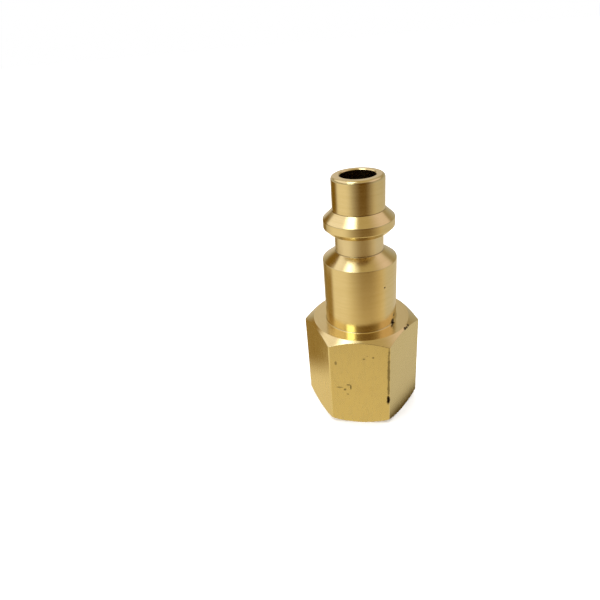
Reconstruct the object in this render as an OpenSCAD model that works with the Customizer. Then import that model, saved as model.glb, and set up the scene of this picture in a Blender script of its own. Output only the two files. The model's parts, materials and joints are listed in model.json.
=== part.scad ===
// Quick disconnect plug for a compressed air line: industrial interchange profile in the
// 1/4 inch size, with a female 1/4-18 taper pipe thread. It is one piece of brass, turned from
// hexagonal bar. It stands on its thread end, and +Z runs along its axis to the coupling nose.
// All sizes are in millimetres.

/* [Hexagonal body] */
// Distance across the flats of the hexagon
hex_flats = 17; // [16.5:0.5:20]
// Length of the hexagonal body
hex_length = 17; // [16.5:0.5:24]
// Radius at which the flat top face ends and its chamfer starts
top_face_r = 8.1; // [7.5:0.1:8.3]
// Height of the chamfer at the top corners
top_chamfer_h = 1.05; // [0.8:0.05:1.5]
// Height of the chamfer at the bottom corners
bottom_chamfer_h = 0.85; // [0.3:0.05:1]
// How far the six long corners are broken, measured along the radius
corner_break = 0.05; // [0.05:0.05:0.3]

/* [Coupling end] */
// Diameter of the shank that guides the coupler's sleeve
shank_d = 11.9; // [11.6:0.1:12.2]
// Length of the shank
shank_length = 11; // [9:0.5:14]
// Length of the cone from the shank down to the neck
shoulder_length = 1.5; // [1:0.1:2.5]
// Diameter of the neck in which the coupler's locking balls sit
neck_d = 7.7; // [7.2:0.1:8]
// Length of the neck
neck_length = 3.1; // [2.8:0.1:4]
// Diameter of the collar that the locking balls hold
collar_d = 11.2; // [10.8:0.1:11.5]
// Length of the collar, from its back face to the front cone
collar_length = 2.2; // [1.8:0.1:2.8]
// Size of the 45 degree chamfer on the collar's back edge, which the locking balls bear on
collar_chamfer = 0.9; // [0.3:0.1:1.1]
// Length of the cone from the collar to the nose
front_cone_length = 1.4; // [1:0.1:2.2]
// Diameter of the nose that seals in the coupler
nose_d = 8.2; // [8:0.1:8.6]
// Length of the nose, with its lip
nose_length = 5.2; // [4:0.1:7]
// Radius of the rounding on the nose's outer lip
lip_radius = 0.7; // [0.3:0.1:0.9]

/* [Air passage and thread] */
// Diameter of the air passage
bore_d = 5.5; // [4.5:0.1:6]
// Width of the small chamfer where the air passage opens in the nose
bore_chamfer = 0.15; // [0.05:0.05:0.3]
// Diameter of the tapping drill's straight hole
drill_d = 11.11; // [10.9:0.01:11.3]
// Depth of the straight hole from the thread end
port_depth = 14; // [13:0.5:14.5]
// Diameter of the chamfer at the mouth of the thread
mouth_d = 13.8; // [13.4:0.1:14.2]
// Diameter at the root of the thread, measured at the thread end
thread_root_d = 13.3; // [12.9:0.1:13.3]
// Thread turns per inch
turns_per_inch = 18; // [18, 19]
// Number of thread grooves
groove_count = 7; // [4:1:7]

/* [Hidden] */
$fn = 96;
overlap = 1;                 // how far a cutting shape stands past the face that it opens
thread_half_angle = 30;
thread_taper = 1 / 32;       // loss of radius along the axis: one in sixteen on the diameter
drill_point_angle = 118;
arc_step = 15;

corner_r = hex_flats / sqrt(3);
chamfer_slope = top_chamfer_h / (corner_r - top_face_r);
bottom_face_r = corner_r - bottom_chamfer_h / chamfer_slope;
broken_r = corner_r - corner_break;
break_h = corner_break * chamfer_slope;

shank_top = hex_length + shank_length;
neck_bottom = shank_top + shoulder_length;
collar_bottom = neck_bottom + neck_length;
collar_top = collar_bottom + collar_length;
nose_bottom = collar_top + front_cone_length;
nose_top = nose_bottom + nose_length;

bore_r = bore_d / 2;
drill_r = drill_d / 2;
mouth_r = mouth_d / 2;
mouth_depth = mouth_r - drill_r;
thread_pitch = 25.4 / turns_per_inch;
port_end = port_depth + (drill_r - bore_r) / tan(drill_point_angle / 2);

// Outline of the turned coupling end, from its axis. It starts inside the hexagon.
coupling_outline = concat(
    [
        [0, port_depth],
        [shank_d / 2, port_depth],
        [shank_d / 2, shank_top],
        [neck_d / 2, neck_bottom],
        [neck_d / 2, collar_bottom],
        [collar_d / 2 - collar_chamfer, collar_bottom],
        [collar_d / 2, collar_bottom + collar_chamfer],
        [collar_d / 2, collar_top],
        [nose_d / 2, nose_bottom],
    ],
    [
        for (a = [0:arc_step:90])
            [nose_d / 2 - lip_radius * (1 - cos(a)), nose_top - lip_radius * (1 - sin(a))]
    ],
    [[0, nose_top]]
);

// Outline of the space inside the hexagon's chamfers and broken corners
chamfer_outline = [
    [0, 0],
    [bottom_face_r, 0],
    [broken_r, bottom_chamfer_h - break_h],
    [broken_r, hex_length - top_chamfer_h + break_h],
    [top_face_r, hex_length],
    [0, hex_length],
];

// One V groove of the thread: the edge nearer the mouth, the root and the far edge
function groove(i) =
    let (
        z = mouth_depth + (i + 0.5) * thread_pitch,
        root_r = thread_root_d / 2 - z * thread_taper,
        half_width = (root_r - drill_r) * tan(thread_half_angle)
    )
    [[drill_r, z - half_width], [root_r, z], [drill_r, z + half_width]];

// Outline of the threaded port's space: mouth chamfer, grooves, straight hole and drill point
port_outline = concat(
    [[0, -overlap], [mouth_r + overlap, -overlap], [drill_r, mouth_depth]],
    [for (i = [0:groove_count - 1]) each groove(i)],
    [[drill_r, port_depth], [bore_r, port_end], [0, port_end]]
);

module hexagonal_body() {
    intersection() {
        cylinder(r = corner_r, h = hex_length, $fn = 6);
        rotate_extrude() polygon(chamfer_outline);
    }
}

module coupling_end() {
    rotate_extrude() polygon(coupling_outline);
}

module threaded_port() {
    rotate_extrude() polygon(port_outline);
}

module air_passage() {
    translate([0, 0, port_depth])
        cylinder(r = bore_r, h = nose_top - port_depth + overlap);
    translate([0, 0, nose_top - bore_chamfer])
        cylinder(r1 = bore_r, r2 = bore_r + bore_chamfer + overlap, h = bore_chamfer + overlap);
}

module plug_body() {
    color("goldenrod")
        difference() {
            union() {
                hexagonal_body();
                coupling_end();
            }
            threaded_port();
            air_passage();
        }
}

plug_body();
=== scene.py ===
"""The looks of a brass quick disconnect plug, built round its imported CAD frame.

Blender works in metres, with +Z from the thread end to the coupling nose and two of the
hexagon's flats facing -Y and +Y. Lengths named here are in millimetres, and MM turns them into
metres.
"""

import json
import math

import bpy
import numpy as np
from mathutils import Matrix, Vector

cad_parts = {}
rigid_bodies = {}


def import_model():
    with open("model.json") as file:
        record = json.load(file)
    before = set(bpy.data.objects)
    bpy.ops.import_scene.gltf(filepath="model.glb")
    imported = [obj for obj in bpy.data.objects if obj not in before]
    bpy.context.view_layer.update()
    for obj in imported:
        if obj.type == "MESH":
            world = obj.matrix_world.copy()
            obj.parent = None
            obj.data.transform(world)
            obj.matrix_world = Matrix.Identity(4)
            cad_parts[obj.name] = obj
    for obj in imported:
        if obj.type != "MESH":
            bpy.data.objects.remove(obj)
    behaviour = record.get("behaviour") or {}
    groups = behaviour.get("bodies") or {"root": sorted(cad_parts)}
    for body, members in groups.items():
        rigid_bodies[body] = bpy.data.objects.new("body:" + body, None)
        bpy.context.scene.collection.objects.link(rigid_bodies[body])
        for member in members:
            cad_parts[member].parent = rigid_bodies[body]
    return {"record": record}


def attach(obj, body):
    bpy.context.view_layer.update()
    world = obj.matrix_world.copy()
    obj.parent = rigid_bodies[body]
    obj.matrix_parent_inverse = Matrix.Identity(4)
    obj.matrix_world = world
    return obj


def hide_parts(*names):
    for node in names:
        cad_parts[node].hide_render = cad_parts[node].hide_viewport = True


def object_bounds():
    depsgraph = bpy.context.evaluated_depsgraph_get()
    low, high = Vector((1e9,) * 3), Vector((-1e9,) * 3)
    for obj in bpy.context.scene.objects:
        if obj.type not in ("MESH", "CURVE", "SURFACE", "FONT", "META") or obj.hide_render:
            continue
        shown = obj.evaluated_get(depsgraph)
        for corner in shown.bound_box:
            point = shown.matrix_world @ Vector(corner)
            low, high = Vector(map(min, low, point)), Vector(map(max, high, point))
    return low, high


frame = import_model()
cad_low, cad_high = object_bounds()
MM = 0.001

# ---------------------------------------------------------------- sizes from the frame
mounts = {m["name"]: m for m in frame["record"]["mounts"]}


def radius(name):
    """A round mount's radius."""
    return mounts[name]["dims"]["r_mm"]


def wall_ends(name):
    """The lower and upper end of a round mount's wall."""
    middle = mounts[name]["pos_m"][2] / MM
    half = mounts[name]["dims"]["length_mm"] / 2
    return middle - half, middle + half


PLUG_TOP = cad_high.z / MM
APOTHEM = cad_high.y / MM
HEX_TOP, SHANK_TOP = wall_ends("coupler_shank")
COLLAR_BOTTOM, COLLAR_TOP = wall_ends("locking_collar")
NOSE_BOTTOM, NOSE_WALL_TOP = wall_ends("coupler_nose")
SHANK_R = radius("coupler_shank")
COLLAR_R = radius("locking_collar")
NOSE_R = radius("coupler_nose")
BORE_R = radius("air_passage")
DRILL_R = radius("hose_thread")
LIP_RADIUS = PLUG_TOP - NOSE_WALL_TOP

# ---------------------------------------------------------------- sizes of the finer shape
NECK_R = 3.85
NECK_BOTTOM = 29.5          # where the shoulder's cone ends
COLLAR_CHAMFER = 0.9        # on the collar's back edge, at 45 degrees
TOP_FACE_R = 8.1            # where the hexagon's flat top ends and its chamfer starts
TOP_CHAMFER = 1.05          # chamfer height at the hexagon's corners
BOTTOM_CHAMFER = 0.85
CORNER_ROUND = 0.35         # rounding of the six long corners
BORE_CHAMFER = 0.15
PORT_DEPTH = 14.0
DRILL_POINT = 118           # full angle of the drill point, in degrees
DRILL_CONE = (DRILL_R - BORE_R) / math.tan(math.radians(DRILL_POINT / 2))

CREST_R_AT_END = 5.68       # at the thread end; the straight hole takes over further in
ROOT_R_AT_END = 6.81
MOUTH_R = 6.9               # where the 45 degree chamfer that opens the port starts
THREAD_PITCH = 25.4 / 18
THREAD_TURNS = 8
THREAD_TAPER = 1 / 32
THREAD_START = MOUTH_R - CREST_R_AT_END
THREAD_END = THREAD_START + THREAD_TURNS * THREAD_PITCH
# Places along one turn, as shares of the pitch, and the share of the groove's depth there
THREAD_FORM = [
    (0.0, 0.0), (0.03, 0.0), (0.265, 0.5), (0.48, 1.0), (0.52, 1.0), (0.735, 0.5), (0.97, 0.0),
]
ROWS_PER_TURN = len(THREAD_FORM)
LAST_THREAD_ROW = ROWS_PER_TURN * (THREAD_TURNS + 1)

FLAT_COLUMNS = 28           # mesh columns across one flat
CORNER_COLUMNS = 6          # mesh columns round one long corner
MOST_OF_WALL = 0.45         # the share of a wall that one corner's rounding may take up
FLAT_TO_FLAT = math.radians(60)
FLAT_TO_CORNER = FLAT_TO_FLAT / 2
SHARP_CORNER_R = APOTHEM / math.cos(FLAT_TO_CORNER)
CHAMFER_SLOPE = TOP_CHAMFER / (SHARP_CORNER_R - TOP_FACE_R)
BOTTOM_FACE_R = SHARP_CORNER_R - BOTTOM_CHAMFER / CHAMFER_SLOPE


# ---------------------------------------------------------------- the plug's mesh
TINY = 1e-9                 # keeps a division by nothing from failing
SAME_PLACE = 1e-6           # points and directions closer than this are the same


def unit(v):
    return v / np.maximum(np.linalg.norm(v, axis=-1, keepdims=True), TINY)


def turn_between(a, b, t):
    """Unit vectors turned from a to b, a share t of the way."""
    angle = np.arccos(np.clip((a * b).sum(-1, keepdims=True), -1, 1))
    sine = np.maximum(np.sin(angle), TINY)
    turned = (np.sin((1 - t) * angle) * a + np.sin(t * angle) * b) / sine
    return np.where(angle < SAME_PLACE, a, turned)


def hexagon_outline():
    """Angle, radius and normal angle of each mesh column on the hexagon with rounded corners."""
    points, normals = [], []
    half_flat = (APOTHEM - CORNER_ROUND) * math.tan(FLAT_TO_CORNER)
    for side in range(6):
        facing = math.radians(60 * side - 90)
        out = np.array([math.cos(facing), math.sin(facing)])
        along = np.array([-out[1], out[0]])
        for s in np.linspace(-1, 1, FLAT_COLUMNS + 1):
            points.append(APOTHEM * out + s * half_flat * along)
            normals.append(facing)
        centre = (APOTHEM - CORNER_ROUND) * out + half_flat * along
        for k in range(1, CORNER_COLUMNS):
            turn = facing + FLAT_TO_FLAT * k / CORNER_COLUMNS
            points.append(centre + CORNER_ROUND * np.array([math.cos(turn), math.sin(turn)]))
            normals.append(turn)
    points = np.array(points)
    return np.arctan2(points[:, 1], points[:, 0]), np.hypot(*points.T), np.array(normals)


column_angle, hex_r, hex_facing = hexagon_outline()
COLUMNS = len(column_angle)
outward = np.stack([np.cos(column_angle), np.sin(column_angle)], 1)
hex_normal = np.stack([np.cos(hex_facing), np.sin(hex_facing), np.zeros(COLUMNS)], 1)
# How round a column's place on the hexagon is: 1 in the middle of a corner, 0 on a flat
corner_share = 1 - np.abs(((np.degrees(hex_facing) + 90) % 60) / 30 - 1)
# How far round the plug a column is, from 0 at the first one to almost 1 at the last
full_turn = np.unwrap(column_angle)
turn_share = (full_turn - full_turn[0]) / (2 * math.pi)


class Corner:
    """One corner of the outline: its place in each column, its rounding, and the wall after it.

    steps is the number of mesh rows round the corner, and rows the number along the wall."""

    def __init__(self, r, z, rounding, wall, steps=3, rows=1):
        place = np.broadcast_to(r, COLUMNS), np.broadcast_to(z, COLUMNS)
        self.place = np.stack(place, 1).astype(float)
        self.rounding, self.wall, self.steps, self.rows = rounding, wall, steps, rows


def wall_normals(wall, step):
    """Normals of a wall that runs in direction step, one for each column."""
    if wall == "flat":
        return hex_normal
    return np.concatenate([outward * step[:, 1:2], -step[:, 0:1]], 1)


class Surface:
    """Rows of points with a normal each, the wall each row is on, and how it bends there.

    A bend is above 0 round an outer edge, below 0 in a hollow corner and 0 along a wall."""

    def __init__(self):
        self.points, self.normals, self.walls, self.bends = [], [], [], []

    def add(self, place, normal, wall, bend=0.0):
        self.points.append(place)
        self.normals.append(unit(normal))
        self.walls.append(wall)
        self.bends.append(bend)


def follow(corners, surface):
    """Adds the rows of an open run of corners, with every corner rounded but the first and last."""
    steps = [unit(b.place - a.place) for a, b in zip(corners, corners[1:])]
    lengths = [np.linalg.norm(b.place - a.place, axis=1) for a, b in zip(corners, corners[1:])]
    start = corners[0].place
    for i, corner in enumerate(corners[1:], 1):
        last = i == len(corners) - 1
        before, behind = steps[i - 1], corners[i - 1]
        normal = wall_normals(behind.wall, before)
        if last:
            end = corner.place
        else:
            after = steps[i]
            cosine = np.clip((before * after).sum(1), -1, 1)
            half_tangent = np.sqrt((1 - cosine) / (1 + cosine))
            room = MOST_OF_WALL * np.minimum(lengths[i - 1], lengths[i])
            cut = np.minimum(corner.rounding * half_tangent, room)[:, None]
            end = corner.place - before * cut
        for k in range(behind.rows):
            surface.add(start + (end - start) * (k / behind.rows), normal, behind.wall)
        surface.add(end, normal, behind.wall)
        if last:
            return
        # The rounding is an arc from the cut on one wall to the cut on the next. Side is 1 where
        # the outline turns left, which is an outer edge, and -1 in a hollow corner
        next_normal = wall_normals(corner.wall, after)
        side = np.sign(before[:, 0] * after[:, 1] - before[:, 1] * after[:, 0])[:, None]
        inward = side * np.stack([-before[:, 1], before[:, 0]], 1)
        next_inward = side * np.stack([-after[:, 1], after[:, 0]], 1)
        arc_r = cut / np.maximum(half_tangent[:, None], TINY)
        centre = end + inward * arc_r
        for k in range(1, corner.steps):
            t = k / corner.steps
            place = centre - turn_between(inward, next_inward, t) * arc_r
            bend = float(np.median(side)) * math.sin(math.pi * t)
            surface.add(place, turn_between(normal, next_normal, t), corner.wall, bend)
        start = corner.place + after * cut


def thread_crest(z):
    return np.maximum(CREST_R_AT_END - z * THREAD_TAPER, DRILL_R)


# The outline from the thread's mouth out, up and back down the bore: radius, height, rounding
OUTSIDE = [
    Corner(thread_crest(THREAD_START), THREAD_START, 0, "thread"),
    Corner(MOUTH_R, 0, 0.06, "face"),
    Corner(BOTTOM_FACE_R, 0, 0.12, "chamfer", rows=2),
    Corner(hex_r, (hex_r - BOTTOM_FACE_R) * CHAMFER_SLOPE, 0.10, "flat", rows=8),
    Corner(hex_r, HEX_TOP - (hex_r - TOP_FACE_R) * CHAMFER_SLOPE, 0.10, "chamfer", rows=2),
    Corner(TOP_FACE_R, HEX_TOP, 0.10, "face", rows=2),
    Corner(SHANK_R, HEX_TOP, 0.17, "shank", steps=6, rows=6),
    Corner(SHANK_R, SHANK_TOP, 0.12, "cone", rows=2),
    Corner(NECK_R, NECK_BOTTOM, 0.25, "neck", steps=5, rows=2),
    Corner(NECK_R, COLLAR_BOTTOM - COLLAR_CHAMFER, 0.18, "face", steps=5),
    Corner(COLLAR_R - COLLAR_CHAMFER, COLLAR_BOTTOM - COLLAR_CHAMFER, 0.25, "chamfer", steps=5),
    Corner(COLLAR_R, COLLAR_BOTTOM, 0.20, "collar", rows=2),
    Corner(COLLAR_R, COLLAR_TOP, 0.20, "cone", rows=2),
    Corner(NOSE_R, NOSE_BOTTOM, 0.20, "nose", steps=4, rows=4),
    Corner(NOSE_R, PLUG_TOP, LIP_RADIUS, "face", steps=9, rows=2),
    Corner(BORE_R + BORE_CHAMFER, PLUG_TOP, 0.06, "chamfer"),
    Corner(BORE_R, PLUG_TOP - BORE_CHAMFER, 0.06, "bore", rows=8),
    Corner(BORE_R, PORT_DEPTH + DRILL_CONE, 0.08, "port"),
    Corner(DRILL_R, PORT_DEPTH, 0.10, "port"),
    Corner(DRILL_R, THREAD_END, 0, "thread"),
]
INSIDE_WALLS = ("bore", "port", "thread")
THREAD_HOLLOW_SHADE = 0.6         # how much the thread counts as a hollow corner, for painted shade, from 0 to 1


def thread_row(k):
    """Radius and height of one row of the helical thread, in each column, from the mouth inwards.

    A row climbs one pitch in a full turn, so its far end meets the start of the row one turn on.
    The first and last turn fan out of a ring, so that the groove starts and ends in nothing."""
    share, depth = THREAD_FORM[k % ROWS_PER_TURN]
    turns = k // ROWS_PER_TURN + share - 1
    z = THREAD_START + THREAD_PITCH * (turns + turn_share)
    fade = np.ones(COLUMNS)
    if k < ROWS_PER_TURN:
        fade = turn_share
        z = THREAD_START + THREAD_PITCH * (turns + 1) * fade
    if k > ROWS_PER_TURN * THREAD_TURNS:
        fade = 1 - turn_share
        z = THREAD_END - THREAD_PITCH * (THREAD_TURNS - turns) * fade
    crest = thread_crest(z)
    return np.stack([crest + fade * depth * (ROOT_R_AT_END - z * THREAD_TAPER - crest), z], 1)


def thread_normals(thread):
    """Normals between each thread row and the next, in each column and in the first one again."""
    once_round = np.concatenate([thread, thread[:, :1]], 1)
    once_round[:-ROWS_PER_TURN, -1] = thread[ROWS_PER_TURN:, 0]
    once_round[-ROWS_PER_TURN:, -1] = thread[-1, 0]
    step = once_round[:-1] - once_round[1:]
    step[np.linalg.norm(step, axis=2) < SAME_PLACE] = (0, -1)
    step = unit(step)
    radial = np.concatenate([outward, outward[:1]])
    return np.concatenate([radial * step[..., 1:2], -step[..., 0:1]], 2)


class PlugMesh:
    """The plug's points and faces: a grid of rows and columns, joined at the port by the thread."""

    def __init__(self, grid, thread):
        self.grid, self.thread = grid, thread
        self.points, self.ids = [], {}
        self.faces, self.face_normals = [], []

    def point(self, key, place, column):
        """The number of one point, which is made when it's first asked for."""
        if key not in self.ids:
            self.ids[key] = len(self.points)
            self.points.append((*(place[0] * outward[column]), place[1]))
        return self.ids[key]

    def grid_point(self, row, column):
        column %= COLUMNS
        return self.point((row, column), self.grid[row, column], column)

    def thread_point(self, k, column):
        if column == COLUMNS:
            k, column = min(k + ROWS_PER_TURN, LAST_THREAD_ROW), 0
        if k == 0 or (column == 0 and k <= ROWS_PER_TURN):
            return self.grid_point(0, column)
        if k == LAST_THREAD_ROW:
            return self.grid_point(len(self.grid) - 1, column)
        return self.point(("thread", k, column), self.thread[k, column], column)

    def add_face(self, corners, normals):
        """Adds one face, less any corner that repeats the one before it."""
        kept = [i for i, corner in enumerate(corners) if corner != corners[i - 1]]
        if len(kept) >= 3:
            self.faces.append([corners[i] for i in kept])
            self.face_normals.extend(normals[i] for i in kept)


def build_plug():
    """One closed mesh of the whole plug."""
    surface = Surface()
    follow(OUTSIDE, surface)
    thread = np.array([thread_row(k) for k in range(LAST_THREAD_ROW + 1)])
    plug_mesh = PlugMesh(np.array(surface.points), thread)
    for row in range(len(surface.points) - 1):
        for j in range(COLUMNS):
            quad = ((row, j), (row, j + 1), (row + 1, j + 1), (row + 1, j))
            plug_mesh.add_face([plug_mesh.grid_point(r, c) for r, c in quad],
                               [surface.normals[r][c % COLUMNS] for r, c in quad])
    normals = thread_normals(thread)
    for k in range(LAST_THREAD_ROW - 1, -1, -1):
        for j in range(COLUMNS):
            quad = ((k + 1, j), (k + 1, j + 1), (k, j + 1), (k, j))
            plug_mesh.add_face([plug_mesh.thread_point(r, c) for r, c in quad],
                               [normals[k, c] for _, c in quad])

    mesh = bpy.data.meshes.new("plug")
    mesh.from_pydata([tuple(c * MM for c in p) for p in plug_mesh.points], [], plug_mesh.faces)
    mesh.polygons.foreach_set("use_smooth", [True] * len(plug_mesh.faces))
    add_marks(mesh, surface, plug_mesh.ids)
    mesh.validate()
    mesh.normals_split_custom_set([tuple(n) for n in plug_mesh.face_normals])
    return mesh


def add_marks(mesh, surface, ids):
    """Paints the marks that the material reads onto the mesh's points.

    flat, inside and coarse say which wall a point is on, edge and hollow how it bends, and run
    how far along the outline it is. The material lays a painted highlight where edge is high and
    painted shade where hollow and inside are. Points of the thread keep what they're given first,
    and the ring at the shank's foot gets no painted shade, unlike other hollow corners."""
    marks = {name: np.zeros(len(mesh.vertices), np.float32)
             for name in ("flat", "edge", "hollow", "run", "inside", "coarse")}
    marks["inside"][:] = 1
    marks["hollow"][:] = THREAD_HOLLOW_SHADE
    run = 0.0
    for row, (wall, bend) in enumerate(zip(surface.walls, surface.bends)):
        if row:
            step = surface.points[row] - surface.points[row - 1]
            run += float(np.linalg.norm(step, axis=1).mean())
        on_flat = wall == "flat"
        at = [ids[row, j] for j in range(COLUMNS)]
        marks["flat"][at] = on_flat * (0.5 if bend else 1.0)
        marks["edge"][at] = np.maximum(bend, on_flat * corner_share)
        marks["hollow"][at] = max(-bend, 0) * (wall != "shank")
        marks["run"][at] = run
        marks["coarse"][at] = wall == "neck"
        marks["inside"][at] = wall in INSIDE_WALLS
    for name, value in marks.items():
        mesh.attributes.new(name, "FLOAT", "POINT").data.foreach_set("value", value)


# ---------------------------------------------------------------- materials
class Graph:
    """Short calls for making shader nodes."""

    def __init__(self, tree):
        self.tree = tree
        tree.nodes.clear()

    def node(self, kind, *inputs, **settings):
        """A new node with its settings made and its first inputs fed."""
        made = self.tree.nodes.new("ShaderNode" + kind)
        for name, value in settings.items():
            setattr(made, name, value)
        for socket, value in zip(made.inputs, inputs):
            self.feed(socket, value)
        return made

    def feed(self, socket, value):
        if isinstance(value, bpy.types.NodeSocket):
            self.tree.links.new(value, socket)
        else:
            socket.default_value = value

    def feed_named(self, node, values):
        """Feeds a node's inputs by name, and gives the node back."""
        for name, value in values.items():
            self.feed(node.inputs[name], value)
        return node

    def mix_shader(self, share, a, b):
        return self.node("MixShader", share, a.outputs[0], b.outputs[0])

    def finish(self, shader, output="OutputMaterial"):
        self.feed(self.node(output).inputs["Surface"], shader.outputs[0])

    def math(self, operation, *inputs):
        return self.node("Math", *inputs, operation=operation).outputs[0]

    def product(self, first, *others):
        for other in others:
            first = self.math("MULTIPLY", first, other)
        return first

    def vector_math(self, operation, *inputs):
        made = self.node("VectorMath", *inputs, operation=operation)
        return made.outputs["Value" if operation in ("LENGTH", "DOT_PRODUCT") else "Vector"]

    def span(self, value, low, high, to_low=0.0, to_high=1.0, smooth=True):
        """value's place between low and high, as a share from to_low to to_high."""
        return self.node("MapRange", value, low, high, to_low, to_high, clamp=True,
                         interpolation_type="SMOOTHSTEP" if smooth else "LINEAR").outputs[0]

    def above(self, value, edge, border):
        """1 where value is above an edge and 0 where it's below, across a soft border."""
        return self.span(value, edge - border / 2, edge + border / 2)

    def below(self, value, edge, border):
        """1 where value is below an edge and 0 where it's above, across a soft border."""
        return self.span(value, edge + border / 2, edge - border / 2)

    def mix(self, share, a, b):
        """Colour a, with a share of colour b over it."""
        made = self.node("Mix", share, data_type="RGBA")
        colours = [s for s in made.inputs if s.type == "RGBA"]
        for socket, v in zip(colours, (a, b)):
            self.feed(socket, (*v, 1) if isinstance(v, tuple) else v)
        return [s for s in made.outputs if s.type == "RGBA"][0]

    def mark(self, name):
        return self.node("Attribute", attribute_name=name).outputs["Fac"]

    def coordinates(self, name):
        return self.node("TexCoord").outputs[name]

    def parts(self, vector):
        return self.node("SeparateXYZ", vector).outputs

    def place(self):
        """x, y and z of the shaded point in millimetres."""
        scaled = self.node("VectorMath", self.coordinates("Object"), operation="SCALE")
        return self.parts(self.feed_named(scaled, {"Scale": 1 / MM}).outputs["Vector"])

    def vector(self, x, y, z):
        return self.node("CombineXYZ", x, y, z).outputs[0]

    def noise(self, vector, scale, detail=2.0, roughness=0.5):
        values = {"Scale": scale, "Detail": detail, "Roughness": roughness}
        return self.feed_named(self.node("TexNoise", vector), values).outputs[0]


def new_material(name):
    material = bpy.data.materials.new(name)
    material.use_nodes = True
    return material, Graph(material.node_tree)


# Small dark marks of residue and pits, and in the first row a painted reflection, a long dark line
# down the front flat's right corner: where each one is, how far it reaches in x, y and z, and how
# dark it is
MARKS_AND_REFLECTION = [
    # painted reflection: the dark line down the front flat's right corner
    ((4.74, -8.5, 9.9), (0.25, 0.25, 6.4), 0.58),
    ((4.70, -8.5, 5.3), (0.40, 0.3, 1.3), 1.0),
    ((5.40, -2.55, 17.3), (0.50, 0.75, 0.75), 1.0),
    ((5.55, -2.20, 18.3), (0.40, 0.5, 0.35), 0.8),
    ((7.35, -4.05, 16.75), (0.40, 0.40, 0.25), 0.95),
    ((7.60, -3.60, 16.75), (0.34, 0.42, 0.25), 0.95),
    ((7.80, -3.10, 16.80), (0.26, 0.42, 0.22), 0.8),
    ((4.0, -4.4, 24.6), (0.20, 0.25, 0.16), 0.9),
    ((-3.85, -8.5, 12.8), (0.20, 0.2, 0.45), 0.45),
    ((-3.3, -8.5, 7.75), (0.65, 0.2, 0.12), 0.6),
    ((-2.5, -8.5, 7.3), (0.28, 0.2, 0.24), 0.6),
    ((-1.95, -8.5, 8.3), (0.34, 0.2, 0.13), 0.7),
    ((-1.5, -8.5, 7.7), (0.14, 0.2, 0.65), 0.75),
    ((-2.1, -8.5, 6.3), (0.26, 0.2, 0.16), 0.5),
    ((0.75, -8.5, 13.7), (0.26, 0.2, 0.2), 0.5),
    ((1.3, -8.5, 14.3), (0.18, 0.2, 0.15), 0.5),
    ((2.25, -8.5, 14.0), (0.22, 0.2, 0.17), 0.5),
]
MARK_RAGGEDNESS = 0.3       # how far noise moves a mark's edge, as a share of its reach
MARK_EDGE = (1.05, 0.5)     # where a mark starts and where it's full, as shares of its reach

# Two tones of the turned brass and of the drawn bar, and the colours that lie over them, among them
# a painted highlight and painted shade
TURNED_TONES = (0.86, 0.70, 0.34), (0.90, 0.74, 0.38)
BAR_TONES = (0.84, 0.69, 0.30), (0.89, 0.74, 0.34)
PIT_COLOUR = (0.45, 0.30, 0.08)
CLOUD_COLOUR = (0.72, 0.54, 0.22)
COARSE_COLOUR = (0.97, 0.84, 0.55)
# painted highlight on outer edges and on the hexagon's long corners
EDGE_HIGHLIGHT_COLOUR = (0.96, 0.84, 0.52)
# painted shade in hollow corners and in the thread
HOLLOW_SHADE_COLOUR = (0.36, 0.23, 0.07)
# painted shade inside the bore, the port and the thread
INSIDE_SHADE_COLOUR = (0.30, 0.19, 0.08)
# the dark marks, and the painted dark reflection line at the front flat's right corner
MARK_AND_REFLECTION_COLOUR = (0.022, 0.010, 0.001)
TURNED_ROUGHNESS = (0.17, 0.21)
BAR_ROUGHNESS = (0.22, 0.30)
EXTRA_ROUGHNESS = 0.12      # on the marks and the coarsely cut neck
BUMP_STRENGTH = 0.3
BUMP_HEIGHT = 0.003
LATHE_BUMP, GRAIN_BUMP, PIT_BUMP = 0.5, 0.7, 1.5


def dark_marks(g, place):
    """How dark the marks and the painted corner reflection make each point, from 0 to 1, with
    ragged edges.
    """
    ragged = g.span(g.noise(place, 1.6), 0.3, 0.7, -MARK_RAGGEDNESS, MARK_RAGGEDNESS,
                    smooth=False)
    total = 0.0
    for middle, reach, depth in MARKS_AND_REFLECTION:
        off = g.vector_math("DIVIDE", g.vector_math("SUBTRACT", place, middle), reach)
        off = g.math("ADD", g.vector_math("LENGTH", off), ragged)
        total = g.math("MAXIMUM", total, g.span(off, *MARK_EDGE, 0.0, depth))
    return total


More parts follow.
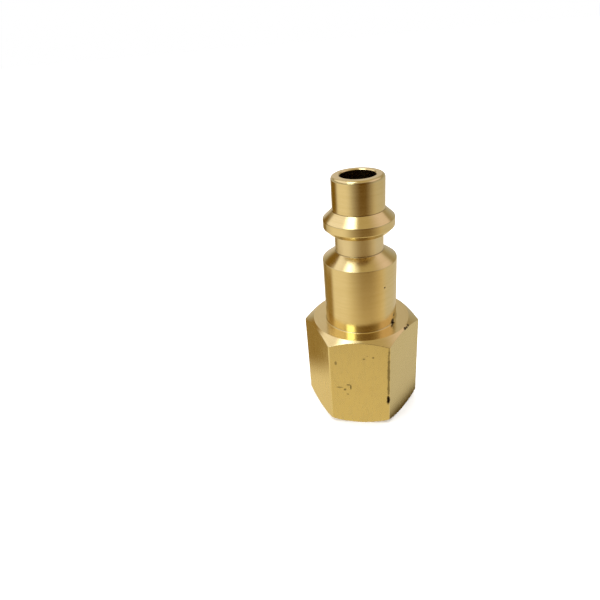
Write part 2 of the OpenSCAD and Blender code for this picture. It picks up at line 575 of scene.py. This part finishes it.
def brass_material():
    """Bright turned brass, with satin drawn-bar flats on the hexagon."""
    material, g = new_material("brass")
    x, y, z = g.place()
    place = g.vector(x, y, z)
    flat, edge, hollow = g.mark("flat"), g.mark("edge"), g.mark("hollow")
    run, inside, coarse = g.mark("run"), g.mark("inside"), g.mark("coarse")
    turned = g.math("SUBTRACT", 1.0, flat)
    marks = dark_marks(g, place)

    # Lathe lines: they follow the tool's way along the outline and hardly change round the axis
    def lathe_lines(change, *noise):
        return g.noise(g.vector(g.product(x, change), g.product(y, change), run), *noise)

    lathe = lathe_lines(0.05, 3.0, 4.0, 0.7)
    fine_lathe = lathe_lines(0.004, 20.0)
    # Drawn-bar grain on the flats: short streaks along the axis, with a few pits
    grain = g.noise(g.vector(x, y, g.product(z, 0.35)), 1.8, 4.0, 0.6)
    pits = g.span(g.noise(place, 2.6, 1.0), 0.72, 0.80)
    clouds = g.span(g.noise(place, 0.22, 3.0, 0.6), 0.45, 0.75)

    turned_colour = g.mix(g.span(lathe, 0.30, 0.70), *TURNED_TONES)
    bar_colour = g.mix(g.span(grain, 0.25, 0.75), *BAR_TONES)
    bar_colour = g.mix(g.product(pits, 0.35), bar_colour, PIT_COLOUR)
    colour = g.mix(flat, turned_colour, bar_colour)
    # Over the base colour: random clouds, the paler coarse neck, a painted highlight on edges,
    # painted shade in hollows and inside, and the marks with the painted corner reflection
    for share, strength, over in (
        (clouds, 0.12, CLOUD_COLOUR), (coarse, 0.5, COARSE_COLOUR), (edge, 0.35, EDGE_HIGHLIGHT_COLOUR),
        (hollow, 0.75, HOLLOW_SHADE_COLOUR), (inside, 0.85, INSIDE_SHADE_COLOUR), (marks, 1.0, MARK_AND_REFLECTION_COLOUR),
    ):
        colour = g.mix(g.product(share, strength), colour, over)

    turned_roughness = g.product(g.span(fine_lathe, 0.3, 0.7, *TURNED_ROUGHNESS), turned)
    bar_roughness = g.product(g.span(grain, 0.3, 0.7, *BAR_ROUGHNESS), flat)
    extra_roughness = g.product(g.math("MAXIMUM", marks, coarse), EXTRA_ROUGHNESS)
    roughness = g.math("ADD", g.math("ADD", turned_roughness, bar_roughness), extra_roughness)

    turned_height = g.product(fine_lathe, g.product(turned, LATHE_BUMP))
    bar_height = g.math("SUBTRACT", g.product(grain, GRAIN_BUMP), g.product(pits, PIT_BUMP))
    bar_height = g.product(bar_height, flat)
    bump = g.feed_named(g.node("Bump"), {
        "Height": g.math("ADD", turned_height, bar_height),
        "Strength": BUMP_STRENGTH,
        "Distance": BUMP_HEIGHT * MM,
    })
    g.finish(g.feed_named(g.node("BsdfPrincipled"), {
        "Metallic": 1.0,
        "Anisotropic": 0.5,
        "Anisotropic Rotation": 0.25,
        "Tangent": g.node("Tangent", direction_type="RADIAL", axis="Z").outputs[0],
        "Base Color": colour,
        "Roughness": roughness,
        "Normal": bump.outputs[0],
    }))
    return material


def paper_material():
    """Matt white paper."""
    material, g = new_material("paper")
    g.finish(g.node("BsdfDiffuse", (0.9, 0.9, 0.9, 1)))
    return material


# ---------------------------------------------------------------- light
# The studio round the plug, as the metal sees it, by direction. Azimuth 0 is towards -Y and 90
# towards +X. First the light at each elevation, in degrees:
STUDIO_WALLS = [
    (-43, (0.74, 0.61, 0.36)),
    (-36, (0.88, 0.74, 0.50)),
    (-30, (0.70, 0.58, 0.38)),
    (-18, (0.53, 0.47, 0.38)),
    (0, (0.46, 0.44, 0.42)),
    (14, (0.41, 0.37, 0.29)),
    (25, (0.34, 0.27, 0.17)),
    (38, (0.48, 0.43, 0.34)),
    (60, (0.50, 0.40, 0.24)),
    (85, (0.46, 0.36, 0.19)),
]
# Then broad cards and shadows over it, later ones covering earlier ones:
# middle azimuth, half width, border; lower edge, border; upper edge, border; colour
STUDIO_CARDS = [
    (42, 40, 40, -35, 6, -22, 20, (0.65, 0.50, 0.28)),      # warm table in front
    (122, 36, 30, -100, 10, -22, 20, (0.60, 0.55, 0.48)),   # paper on the right
    (-68, 35, 44, -34, 12, -4, 24, (0.83, 0.74, 0.59)),     # white paper on the left
    (-136, 13, 14, -33, 8, -10, 10, (0.25, 0.17, 0.05)),    # shadow behind on the left
    (-167, 17, 16, -30, 14, 45, 20, (0.63, 0.57, 0.53)),    # wall behind on the left
    (-80, 70, 30, 70, 10, 95, 10, (0.80, 0.76, 0.62)),      # ceiling on the left
    (-92, 42, 14, 27, 6, 66, 24, (0.98, 0.92, 0.92)),       # wall on the left
    (98, 34, 12, 28, 6, 56, 24, (0.76, 0.63, 0.64)),        # wall on the right
    (22, 35, 56, -29, 24, 42, 24, (0.11, 0.05, 0.00)),      # dark room in front
]
# Soft boxes: name, azimuth, elevation, half width and half height in degrees, and the light
SOFT_BOXES = [
    ("key_box", -52, 70, 17, 9, (3.4, 3.5, 3.8)),
    ("window", -31, 36, 15, 13, (2.6, 3.0, 2.8)),
]
SOFT_BOX_DISTANCE = 600
SOFT_BOX_BORDER = 0.6       # the share of a box's half width and half height that fades out
# Dark flags near the plug: name, shift along the card, half width, lower end, upper end, the
# share of the half height that fades out, and the colour
FLAGS = [
    ("low_flag", 2.6, 5.4, 0, 27, 0.45, (0.31, 0.20, 0.06)),
    ("high_flag", -1.0, 6.8, 31.5, 40, 0.30, (0.20, 0.11, 0.01)),
]
FLAG_AZIMUTH, FLAG_DISTANCE = -102, 12.8
FLAG_SIDE_BORDER = 0.7
# The plug's shade on the paper beside its right flat: how far from the flat it starts and fades
# out, and where it ends in y towards the front
SHADE_START, SHADE_FADE, SHADE_FRONT = (-0.4, -0.1), (2.4, 0.2), (-8.9, -8.3)
SHADE_COLOUR = (0.10, 0.07, 0.03)
SHADE_HALF_SIZE, SHADE_HEIGHT = 20, -0.01
# The light on the paper: its middle strength, how much more and less it is from the bright side
# and the dark side, and where the bright side is
FLOOR_LIGHT, FLOOR_LIGHT_SWING, FLOOR_BRIGHT_AZIMUTH = 1.9, 0.5, -110
FLOOR_HALF_SIZE, FLOOR_GAP = 2000, 0.02


def direction(azimuth, elevation):
    a, e = math.radians(azimuth), math.radians(elevation)
    return Vector((math.sin(a) * math.cos(e), -math.cos(a) * math.cos(e), math.sin(e)))


def studio_colour(g, towards):
    """The studio's light in each direction, from its walls and cards."""
    x, y, z = g.parts(towards)
    azimuth = g.math("DEGREES", g.math("ARCTAN2", x, g.product(y, -1.0)))
    elevation = g.math("DEGREES", g.math("ARCSINE", z))
    ramp = g.node("ValToRGB", g.span(elevation, -90.0, 90.0, smooth=False))
    # A new ramp has two stops and can't have none, so the first one becomes the ramp's low end
    stops = ramp.color_ramp.elements
    stops.remove(stops[1])
    stops[0].position, stops[0].color = 0, (*STUDIO_WALLS[0][1], 1)
    for height, light in STUDIO_WALLS:
        stops.new((height + 90) / 180).color = (*light, 1)
    colour = ramp.outputs[0]
    for middle, half, side_border, low, low_border, high, high_border, light in STUDIO_CARDS:
        off = g.math("WRAP", g.math("SUBTRACT", azimuth, middle), 180.0, -180.0)
        off = g.math("ABSOLUTE", off)
        share = g.product(g.below(off, half, side_border), g.above(elevation, low, low_border),
                          g.below(elevation, high, high_border))
        colour = g.mix(share, colour, light)
    return colour


def studio_world():
    """The light round the plug: the studio for the metal, plain bright light for the floor and
    white for the camera."""
    world = bpy.data.worlds.new("studio")
    world.use_nodes = True
    world.cycles.sampling_method = "NONE"
    bpy.context.scene.world = world
    g = Graph(world.node_tree)
    towards = g.coordinates("Generated")
    side = g.vector_math("DOT_PRODUCT", towards, direction(FLOOR_BRIGHT_AZIMUTH, 0))
    room = g.math("ADD", g.product(side, FLOOR_LIGHT_SWING), FLOOR_LIGHT)
    white = (1, 1, 1, 1)
    for_metal = g.node("Background", studio_colour(g, towards))
    for_floor = g.node("Background", white, room)
    for_camera = g.node("Background", white)
    rays = g.node("LightPath").outputs
    seen = g.mix_shader(rays["Is Diffuse Ray"], for_metal, for_floor)
    g.finish(g.mix_shader(rays["Is Camera Ray"], seen, for_camera), "OutputWorld")


def finish_card(g, share, light):
    """Ends a card's material, which gives off light where share is 1 and is clear where it's 0."""
    strength = max(light)
    glow = g.node("Emission", (*(c / strength for c in light), 1), strength)
    g.finish(g.mix_shader(share, g.node("BsdfTransparent"), glow))


def glow_material(name, light, soft_sides, soft_ends):
    """A card of one light, which fades out over a share of its half width and half height."""
    material, g = new_material(name)
    share = 1.0
    for place, soft in zip(g.parts(g.coordinates("UV")), (soft_sides, soft_ends)):
        off = g.math("ABSOLUTE", g.math("SUBTRACT", g.product(place, 2.0), 1.0))
        share = g.product(share, g.span(off, 1.0, 1.0 - soft))
    finish_card(g, share, light)
    return material


def shade_material():
    """The plug's own shade on the paper, which the metal mirrors low on its right flat."""
    material, g = new_material("shade")
    x, y, _ = g.place()
    across = g.math("SUBTRACT", g.product(x, math.cos(FLAT_TO_CORNER)),
                    g.product(y, math.sin(FLAT_TO_CORNER)))
    off = g.math("SUBTRACT", across, APOTHEM)
    share = g.product(g.span(off, *SHADE_FADE), g.span(off, *SHADE_START), g.span(y, *SHADE_FRONT))
    finish_card(g, share, SHADE_COLOUR)
    return material


def square(half, z):
    return [(-half, -half, z), (half, -half, z), (half, half, z), (-half, half, z)]


def sheet(name, corners, material):
    """A flat sheet between four corners."""
    mesh = bpy.data.meshes.new(name)
    mesh.from_pydata([tuple(c * MM for c in corner) for corner in corners], [], [(0, 1, 2, 3)])
    mesh.materials.append(material)
    made = bpy.data.objects.new(name, mesh)
    bpy.context.scene.collection.objects.link(made)
    return made


def stage_card(name, corners, material):
    """A flat card of the studio. The camera and the floor don't see it: only the metal does."""
    card = sheet(name, corners, material)
    card.data.uv_layers.new(name="card").data.foreach_set("uv", (0, 0, 1, 0, 1, 1, 0, 1))
    card.visible_camera = card.visible_diffuse = card.visible_shadow = False


def add_soft_boxes():
    """Bright boxes far from the plug, for the highlights."""
    for name, azimuth, elevation, half_width, half_height, light in SOFT_BOXES:
        middle = direction(azimuth, elevation) * SOFT_BOX_DISTANCE
        wide, high = (math.tan(math.radians(a)) for a in (half_width, half_height))
        right = direction(azimuth + 90, 0) * SOFT_BOX_DISTANCE * wide
        up = direction(azimuth, elevation + 90) * SOFT_BOX_DISTANCE * high
        corners = [middle - right - up, middle + right - up,
                   middle + right + up, middle - right + up]
        stage_card(name, corners, glow_material(name, light, SOFT_BOX_BORDER, SOFT_BOX_BORDER))


def add_flags():
    """Dark warm cards close to the plug's left, which darken a band along that side."""
    across = direction(FLAG_AZIMUTH + 90, 0)
    for name, shift, half_width, low, high, soft_ends, colour in FLAGS:
        middle = direction(FLAG_AZIMUTH, 0) * FLAG_DISTANCE + across * shift
        corners = [middle + across * side * half_width + Vector((0, 0, z))
                   for side, z in ((-1, low), (1, low), (1, high), (-1, high))]
        stage_card(name, corners, glow_material(name, colour, FLAG_SIDE_BORDER, soft_ends))


def add_floor():
    """White paper just under the plug. The metal doesn't see it: the studio stands in for it."""
    floor = sheet("floor", square(FLOOR_HALF_SIZE, 0), paper_material())
    floor.location.z = cad_low.z - FLOOR_GAP * MM
    floor.visible_glossy = False


# ---------------------------------------------------------------- camera
CAMERA_PLACE = (3.453, -71.241, 61.084)
CAMERA_PITCH, CAMERA_YAW, CAMERA_ROLL = -29.64, -11.02, -5.37
CAMERA_LENS = 28.85
CAMERA_CLIP_START = 1


def add_camera():
    """A camera at the height and angle of a hand-held close-up."""
    pitch, yaw, roll = (math.radians(a) for a in (CAMERA_PITCH, CAMERA_YAW, CAMERA_ROLL))
    ahead = Vector((math.sin(yaw) * math.cos(pitch), math.cos(yaw) * math.cos(pitch),
                    math.sin(pitch)))
    level = Vector((math.cos(yaw), -math.sin(yaw), 0))
    above = level.cross(ahead)
    right = level * math.cos(roll) + above * math.sin(roll)
    up = above * math.cos(roll) - level * math.sin(roll)
    data = bpy.data.cameras.new("camera")
    data.lens = CAMERA_LENS
    data.clip_start = CAMERA_CLIP_START * MM
    camera = bpy.data.objects.new("camera", data)
    bpy.context.scene.collection.objects.link(camera)
    camera.matrix_world = (Matrix.Translation(Vector(CAMERA_PLACE) * MM)
                           @ Matrix((right, up, -ahead)).transposed().to_4x4())
    bpy.context.scene.camera = camera


# ---------------------------------------------------------------- the scene
bpy.context.scene.view_settings.view_transform = "Standard"
add_camera()
studio_world()
add_soft_boxes()
add_flags()
stage_card("shade", square(SHADE_HALF_SIZE, SHADE_HEIGHT), shade_material())
add_floor()

plug = bpy.data.objects.new("brass_plug", build_plug())
bpy.context.scene.collection.objects.link(plug)
plug.data.materials.append(brass_material())
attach(plug, "root")
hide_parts("plug_body")
